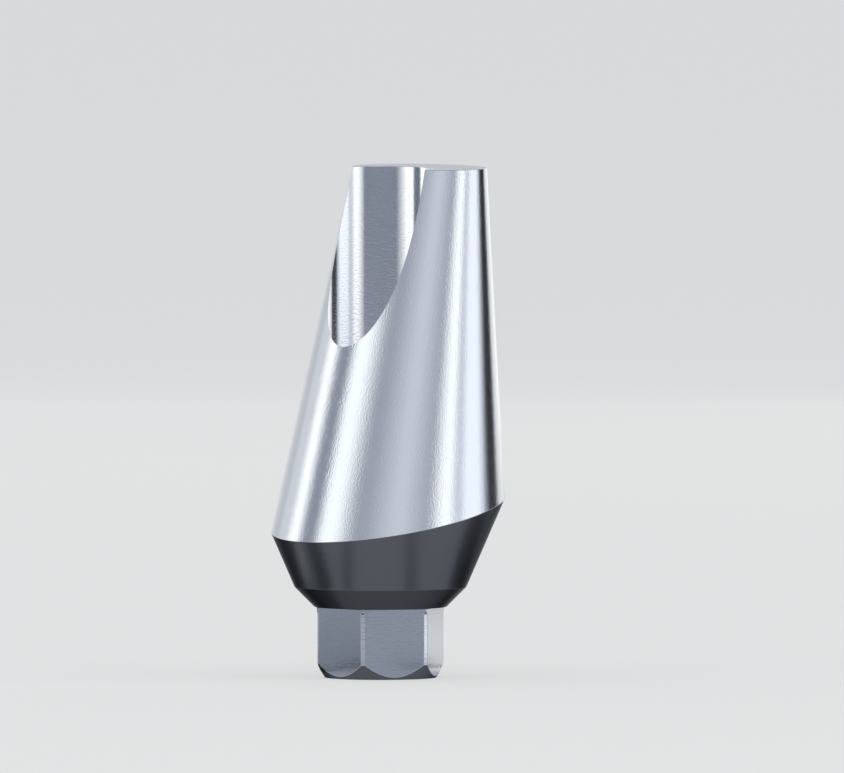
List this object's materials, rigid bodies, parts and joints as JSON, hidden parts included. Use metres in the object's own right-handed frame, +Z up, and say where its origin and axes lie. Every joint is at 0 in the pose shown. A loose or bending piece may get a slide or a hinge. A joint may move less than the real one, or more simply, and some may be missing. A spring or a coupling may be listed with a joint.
{
  "type": "angled dental abutment",
  "caption": "Angled dental abutment: leaning tapered post with an open screw channel, flared collar, seating bevel and anti-rotation hexagon.",
  "frame": {"origin": "on the implant's axis at the foot of the seating bevel, inside the screw bore", "axes": "+Z up the implant's axis towards the crown, +X the side that the post leans to, so the post is symmetric about the XZ plane"},
  "size_m": [0.005, 0.005, 0.0108],
  "materials": {
    "milled_titanium": "fine satin milled titanium alloy"
  },
  "bodies": {
    "root": {"abutment": "milled_titanium"}
  },
  "joints": []
}
